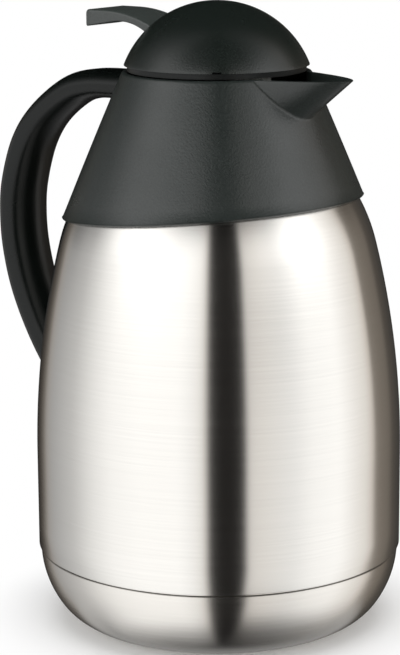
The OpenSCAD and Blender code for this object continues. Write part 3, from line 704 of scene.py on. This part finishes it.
def leverSection(x, inset):
    # Closed loop in Y and Z across the lever at x, drawn in by inset
    out = x - lever["end"]
    top = leverTop(x) - shortenedBy(lever["nose"], out) - inset
    half = lever["halfWidth"] - shortenedBy(lever["corner"], out) - inset
    low = leverLow(x) + inset
    edge = max(min(lever["edge"], (top - low) / 2 - lever["edgeSpare"]), lever["leastEdge"])
    corners = [(half - edge, top - edge, 0), (edge - half, top - edge, 90),
               (edge - half, low + edge, 180), (half - edge, low + edge, 270)]
    return [p for y, z, start in corners
            for p in arcPoints((y, z), edge, start, start + 90, lever["cornerSteps"], first=True)]


def makeLever():
    edge, end = lever["edge"], lever["end"]
    noseEnd = end + lever["noseLength"]
    sections = [(end + edge * (1 - cos(a)), edge * (1 - sin(a)))
                for a in map(radians, lever["edgeAngles"])]
    places = [end + edge] + evenly(end + edge, noseEnd, lever["noseSteps"])
    places += evenly(noseEnd, lever["inner"], lever["steps"])
    sections += [(x, 0) for x in places]
    rings = [leverSection(x, inset) for x, inset in sections]
    points = [(x, y, z) for (x, inset), ring in zip(sections, rings) for y, z in ring]
    faces = flipped(tubeFaces(len(rings), len(rings[0])))
    buildPiece("thumbLever", points, faces, "lid", "lever_plastic", ["thumb_lever"], lever["sharp"])


makeDome()
makeLever()
print("lid made")

thread = {
    "root": 32.45, "crest": 32.88, "low": 211.3, "high": 217.2, "halfBase": 1.0, "halfTop": 0.35,
    "leastOut": 0.05, "sunk": 0.3, "stepsPerTurn": 120, "fadeSteps": 14, "sharp": 50}


def makeThread():
    # A ridge wound on the stopper's skirt, into which it fades at both ends
    root, base, top, pitch = thread["root"], thread["halfBase"], thread["halfTop"], collar["threadPitch"]
    turns = (thread["high"] - thread["low"] - 2 * base) / pitch
    steps = int(turns * thread["stepsPerTurn"])
    least = root + thread["leastOut"]
    points = []
    for i in range(steps + 1):
        angle = 2 * pi * turns * i / steps
        z = thread["low"] + base + pitch * turns * i / steps
        fade = min(i, steps - i, thread["fadeSteps"]) / thread["fadeSteps"]
        out = least + (thread["crest"] - least) * fade
        section = [(root, -base), (out, -top), (out, top), (root, base), (root - thread["sunk"], 0)]
        points += [(r * cos(angle), r * sin(angle), z + up) for r, up in section]
    faces = flipped(tubeFaces(steps + 1, len(section)))
    buildPiece("stopperThread", points, faces, "stopper", "stopper_plastic", sharpAngle=thread["sharp"])


screw = {"underEdge": 0.15, "edgeSteps": 6, "turnSteps": 48, "slotTaper": (0.7, 1.1), "slotAbove": 0.5}
lidScrew = {
    "places": [(12, 20), (12, -20)], "seat": 227.451, "radius": 2.6, "height": 1.5, "edge": 0.6,
    "shank": 1.2, "length": 2.0, "crossLength": 1.6, "crossWidth": 0.45, "crossDepth": 0.8}
handleScrew = {
    "radius": 4, "height": 2.6, "edge": 0.9, "shank": 2, "length": 7,
    "crossLength": 2.6, "crossWidth": 0.6, "crossDepth": 1.2}


def screwShape(look):
    # Pan head with a rounded upper edge on a plain shank, along Z with its seat at z 0
    radius, height, edge, under = look["radius"], look["height"], look["edge"], screw["underEdge"]
    profile = ([(0, height), (radius - edge, height)]
               + arcPoints((radius - edge, height - edge), edge, 90, 0, screw["edgeSteps"])
               + [(radius, under), (radius - under, 0), (look["shank"], 0),
                  (look["shank"], -look["length"]), (0, -look["length"])])
    return turned(profile, screw["turnSteps"])


def crossSlots(look):
    # Two crossed slots in the head's face, narrower towards the bottom
    height, taper = look["height"], screw["slotTaper"]
    levels = zip((height - look["crossDepth"], height + screw["slotAbove"]), taper)
    corners = [(x * look["crossLength"] * grow, y * look["crossWidth"], z)
               for z, grow in levels for x, y in ((-1, -1), (1, -1), (1, 1), (-1, 1))]
    return [corners, [(-y, x, z) for x, y, z in corners]]


def makeScrew(name, look, place, body, replaced=()):
    # place takes a point of the screw's own frame to the object's
    points, faces = screwShape(look)
    placed = [place(*point) for point in points]
    piece = buildPiece(name, placed, flipped(faces), body, "bare_steel", replaced)
    cutAway(piece, [bareMesh("crossTool", [place(*point) for point in slot], tubeFaces(2, 4))
                    for slot in crossSlots(look)])


def makeScrews():
    for i, (x, y) in enumerate(lidScrew["places"], 1):
        makeScrew("lidScrew_%d" % i, lidScrew,
                  lambda px, py, pz: (x + px, y - py, lidScrew["seat"] - pz), "lid")
    makeScrew("handleScrew", handleScrew,
              lambda px, py, pz: (-handle["screwFloor"] - pz, py, handle["screwHeight"] + px),
              "jug", ["handle_screw"])


spring = {
    "pin": (-30.8, 230.15), "coil": 2.4, "wire": 0.4, "pitch": 1.3, "turns": 4.5, "halfLength": 2.6,
    "lidLeg": 9, "deckLeg": 3,
    "taken": 35, "arc": 70,  # degrees of wire: where the fixed piece starts, and what goes with the lid
    "wireSides": 12, "step": 7.5, "arcSteps": 12, "sharp": 50}


def coilPoint(along):
    # Point on the coil, this many degrees along it from its top on the lid's side
    a, (x, z) = radians(90 + along), spring["pin"]
    y = -spring["halfLength"] + spring["pitch"] * along / 360
    return (x + spring["coil"] * cos(a), y, z + spring["coil"] * sin(a))


def wireTube(path):
    sides = spring["wireSides"]
    angles = [2 * pi * k / sides for k in range(sides)]
    points = []
    for i, point in enumerate(path):
        along = (Vector(path[min(i + 1, len(path) - 1)]) - Vector(path[max(i - 1, 0)])).normalized()
        side = along.cross(Vector((0, 1, 0))).normalized()
        other = along.cross(side)
        points += [tuple(Vector(point) + spring["wire"] * (side * cos(a) + other * sin(a)))
                   for a in angles]
    return points, flipped(tubeFaces(len(path), sides))


def makeSpring():
    # Two pieces of one wire: the lid takes its leg and the first bend with it as it opens
    taken, whole = spring["taken"], spring["turns"] * 360
    coil = [coilPoint(a) for a in [taken] + evenly(taken, whole, int((whole - taken) / spring["step"]))]
    end, top = coil[-1], coilPoint(0)
    coil += [(end[0] - spring["deckLeg"] * share, end[1], end[2]) for share in (0.5, 1.0)]
    leg = [(top[0] + spring["lidLeg"] * share, top[1], top[2]) for share in (1.0, 0.5)]
    leg += [coilPoint(a) for a in [0] + evenly(0, spring["arc"], spring["arcSteps"])]
    sharp = spring["sharp"]
    buildPiece("springCoil", *wireTube(coil), "stopper", "bare_steel", ["return_spring"], sharp)
    buildPiece("springLidLeg", *wireTube(leg), "lid", "bare_steel", (), sharp)


makeThread()
makeScrews()
makeSpring()
print("thread, screws and spring made")

# The nodes that no piece replaces show as they come, in their own materials
for name, node in frame["nodes"].items():
    for place in node.material_slots:
        place.material = materials[slotOfNode[name]]
    if not node.material_slots:
        node.data.materials.append(materials[slotOfNode[name]])
print("small parts finished")

studio = {
    "bearing": -52.0, "tentRadius": 3.0, "tentRings": 30, "tentSides": 64, "tentSharp": 60,
    "tentStrength": 1.7, "diffuseShare": 0.55, "worldStrength": 0.3,
    # Degrees to the right of the camera's own bearing, brightness there and how warm it is
    "around": [(-180, .01), (-160, .02, .1), (-150, .05, .14), (-143, .12, .12), (-137, .28, .06),
               (-128, .34), (-103, .51), (-84, .78), (-70, .93), (-50, 1.0), (-25, 1.0), (-17, .9),
               (-11, .8, .02), (-8, .6, .04), (-6, .012, .06), (15.5, .012, .06), (18.5, .66, .03),
               (26, .7, .03), (47, .8), (60, .93), (80, 1.0), (95, .8, .02), (105, .7, .04),
               (112, .55, .08), (114, .18, .12), (124, .145, .14), (134, .12, .14), (140, .06, .14),
               (152, .04, .1), (180, .01)],
    # Degrees up, and the share of that brightness there
    "upward": [(-90, .06), (-72, .13), (-60, .32), (-48, .75), (-38, 1.0), (10, 1.0), (22, 1.6),
               (42, 1.5), (52, 1.0), (64, .45), (90, .1)],
    # Panels end at different heights: from one height to the other, these shares of the brightness
    # come in, by degrees round as above
    "zones": [
        {"from": 3, "to": 10, "share": [
            (-180, .4), (-130, .45), (-114, .85), (-100, 1.0), (10, 1.0), (20, .68), (40, .68), (62, .85),
            (90, 1.0), (180, 1.0)]},
        {"from": 8, "to": 24, "share": [
            (-180, .08), (-138, .08), (-106, .42), (-85, .9), (-70, .98), (-45, .9), (-28, .78), (0, .85),
            (33, 1.25), (60, 1.3), (88, .78), (112, .58), (130, .2), (180, .08)]},
        {"from": 34, "to": 50, "share": [
            (-180, .4), (-110, 1.0), (-75, .85), (-50, .35), (-25, .14), (25, .14), (50, .22), (72, .5),
            (100, .8), (140, .4), (180, .4)]},
        {"from": -40, "to": -58, "share": [
            (-180, 1.0), (-100, 2.0), (-12, 1.9), (12, .6), (100, .55), (180, 1.0)]}],
    # A pale table behind and under the object: where it comes in, in metres back and degrees up
    "tableBack": (-0.3, -1.2), "tableUp": (-35, -50), "tableStrength": 0.35,
    "floorRadius": 2.8, "floorTone": "#fafafa", "floorSides": 96,
    "floorDrop": 0.02, "floorFade": (0.05, 0.105)}  # millimetres down, and metres from the axis


def setStops(ramp, stops, low, high):
    # Each stop: its place between low and high, a brightness and, where it isn't neutral, a warmth
    while len(ramp.elements) > 1:
        ramp.elements.remove(ramp.elements[0])
    for i, (place, brightness, *warmth) in enumerate(stops):
        position = (place - low) / (high - low)
        element = ramp.elements.new(position) if i else ramp.elements[0]
        element.position = position
        warm = sum(warmth)
        element.color = (brightness * (1 + warm), brightness, brightness * (1 - warm), 1)


def tentCloth():
    material, tree = emptyMaterial("tentCloth")
    position = addNode(tree, "ShaderNodeNewGeometry").outputs["Position"]
    facing = addNode(tree, "ShaderNodeVectorRotate", {
        "Vector": position, "Angle": radians(-studio["bearing"])}, rotation_type="Z_AXIS")
    parts = addNode(tree, "ShaderNodeSeparateXYZ", {0: facing})
    bearing = addNode(tree, "ShaderNodeMath", {
        0: parts.outputs["Y"], 1: parts.outputs["X"]}, operation="ARCTAN2")
    bearingPart = addNode(tree, "ShaderNodeMapRange", {"Value": bearing, "From Min": -pi, "From Max": pi})
    flat = addNode(tree, "ShaderNodeVectorMath", {0: facing, 1: (1, 1, 0)}, operation="MULTIPLY")
    flatLength = addNode(tree, "ShaderNodeVectorMath", {0: flat}, operation="LENGTH")
    climb = addNode(tree, "ShaderNodeMath", {
        0: parts.outputs["Z"], 1: flatLength.outputs["Value"]}, operation="ARCTAN2")
    climbPart = addNode(tree, "ShaderNodeMapRange", {
        "Value": climb, "From Min": -pi / 2, "From Max": pi / 2})

    around = addNode(tree, "ShaderNodeValToRGB", {0: bearingPart})
    setStops(around.color_ramp, studio["around"], -180, 180)
    shared = addNode(tree, "ShaderNodeValToRGB", {0: climbPart})
    setStops(shared.color_ramp, studio["upward"], -90, 90)
    for zone in studio["zones"]:
        share = addNode(tree, "ShaderNodeValToRGB", {0: bearingPart})
        setStops(share.color_ramp, zone["share"], -180, 180)
        reached = addNode(tree, "ShaderNodeMapRange", {
            "Value": climb, "From Min": radians(zone["from"]), "From Max": radians(zone["to"])},
            interpolation_type="SMOOTHSTEP")
        part = addNode(tree, "ShaderNodeMix", {mixFactor: reached, numberA: 1.0, numberB: share})
        shared = addNode(tree, "ShaderNodeMath", {0: shared, 1: part}, operation="MULTIPLY")

    diffuse = addNode(tree, "ShaderNodeLightPath").outputs["Is Diffuse Ray"]
    fullStrength = studio["tentStrength"]
    strength = addNode(tree, "ShaderNodeMapRange", {
        "Value": diffuse, "To Min": fullStrength, "To Max": fullStrength * studio["diffuseShare"]})
    panels = addNode(tree, "ShaderNodeMath", {0: shared, 1: strength}, operation="MULTIPLY")
    near, far = studio["tableBack"]
    rear = addNode(tree, "ShaderNodeMapRange", {
        "Value": parts.outputs["X"], "From Min": near, "From Max": far})
    high, low = map(radians, studio["tableUp"])
    under = addNode(tree, "ShaderNodeMapRange", {"Value": climb, "From Min": high, "From Max": low})
    table = addNode(tree, "ShaderNodeMath", {0: rear, 1: under}, operation="MULTIPLY")
    cloth = addNode(tree, "ShaderNodeMix", {
        mixFactor: table, colorA: around, colorB: (1, 1, 1, 1)}, data_type="RGBA")
    clothStrength = addNode(tree, "ShaderNodeMix", {
        mixFactor: table, numberA: panels, numberB: studio["tableStrength"]})
    glow = addNode(tree, "ShaderNodeEmission", {
        "Color": cloth.outputs[mixedColor], "Strength": clothStrength})
    addNode(tree, "ShaderNodeOutputMaterial", {"Surface": glow})
    return material


def makeTent():
    # A soft tent of panels and dark flags round the object, which only reflections and bounced light see
    outline = arcPoints((0, 0), studio["tentRadius"] * 1000, -90, 90, studio["tentRings"], first=True)
    tent = bareMesh("studioTent", *turned(outline, studio["tentSides"]))
    smoothShade(tent, studio["tentSharp"])
    tent.data.materials.append(tentCloth())
    tent.visible_camera = False
    tent.visible_shadow = False


def backgroundRays(tree):
    # 1 for what the camera sees directly, in metal and through glass
    path = addNode(tree, "ShaderNodeLightPath")
    some = addNode(tree, "ShaderNodeMath", {
        0: path.outputs["Is Camera Ray"], 1: path.outputs["Is Glossy Ray"]}, operation="MAXIMUM")
    return addNode(tree, "ShaderNodeMath", {
        0: some, 1: path.outputs["Is Transmission Ray"]}, operation="MAXIMUM")


def floorPaper():
    # White card, matt: it keeps the shadow near the object and fades into the white background
    material, tree = emptyMaterial("paleFloorPaper")
    position = addNode(tree, "ShaderNodeNewGeometry").outputs["Position"]
    away = addNode(tree, "ShaderNodeVectorMath", {0: position}, operation="LENGTH")
    fade = addNode(tree, "ShaderNodeMapRange", {
        "Value": away.outputs["Value"], "From Min": studio["floorFade"][0],
        "From Max": studio["floorFade"][1]}, interpolation_type="SMOOTHSTEP")
    share = addNode(tree, "ShaderNodeMath", {0: fade, 1: backgroundRays(tree)}, operation="MULTIPLY")
    paper = addNode(tree, "ShaderNodeBsdfDiffuse", {"Color": linearFromHex(studio["floorTone"])})
    white = addNode(tree, "ShaderNodeEmission", {"Strength": 1.0})
    surface = addNode(tree, "ShaderNodeMixShader", {0: share, 1: paper, 2: white})
    addNode(tree, "ShaderNodeOutputMaterial", {"Surface": surface})
    return material


def makeFloor():
    size, height = studio["floorRadius"] * 1000, -studio["floorDrop"]
    floor = bareMesh("floor", *turned([(0, height), (size, height)], studio["floorSides"]))
    floor.data.materials.append(floorPaper())
    floor.visible_glossy = False  # the steel shows the tent's lower half instead


def makeWorld():
    world = bpy.data.worlds.new("studioWorld")
    bpy.context.scene.world = world
    world.use_nodes = True
    tree = world.node_tree
    tree.nodes.clear()
    white, quiet = [addNode(tree, "ShaderNodeBackground", {"Color": (1, 1, 1, 1), "Strength": strength})
                    for strength in (1.0, studio["worldStrength"])]
    mixed = addNode(tree, "ShaderNodeMixShader", {0: backgroundRays(tree), 1: quiet, 2: white})
    addNode(tree, "ShaderNodeOutputWorld", {"Surface": mixed})


lamp = {"place": (0.1, -0.1, 1.9), "aim": (0, 0, 0.1), "size": 1.8, "power": 25}


def makeLamp():
    light = bpy.data.lights.new("topSoftbox", "AREA")
    light.shape = "DISK"
    light.size = lamp["size"]
    light.energy = lamp["power"]
    holder = addObject("topSoftbox", light)
    away = (Vector(lamp["place"]) - Vector(lamp["aim"])).to_track_quat("Z", "Y")
    holder.matrix_world = Matrix.Translation(lamp["place"]) @ away.to_matrix().to_4x4()
    holder.visible_glossy = False  # the tent alone shows in the steel
    holder.visible_camera = False


camera = {
    "place": (0.5739, -0.7346, 0.3291), "downward": 12.54, "bearing": 38.453, "roll": -0.38,
    "lens": 85.31, "sensor": 24, "clip": (0.01, 50)}


def makeCamera():
    data = bpy.data.cameras.new("photoCamera")
    data.sensor_fit = "VERTICAL"
    data.sensor_height = camera["sensor"]
    data.lens = camera["lens"]
    data.clip_start, data.clip_end = camera["clip"]
    holder = addObject("photoCamera", data)
    turn = Euler((radians(90 - camera["downward"]), 0, radians(camera["bearing"]))).to_matrix()
    turn = turn @ Matrix.Rotation(radians(camera["roll"]), 3, "Z")
    holder.matrix_world = Matrix.Translation(camera["place"]) @ turn.to_4x4()
    bpy.context.scene.camera = holder


makeTent()
makeFloor()
makeWorld()
makeLamp()
makeCamera()
bpy.context.scene.view_settings.view_transform = "Standard"
print("studio made")
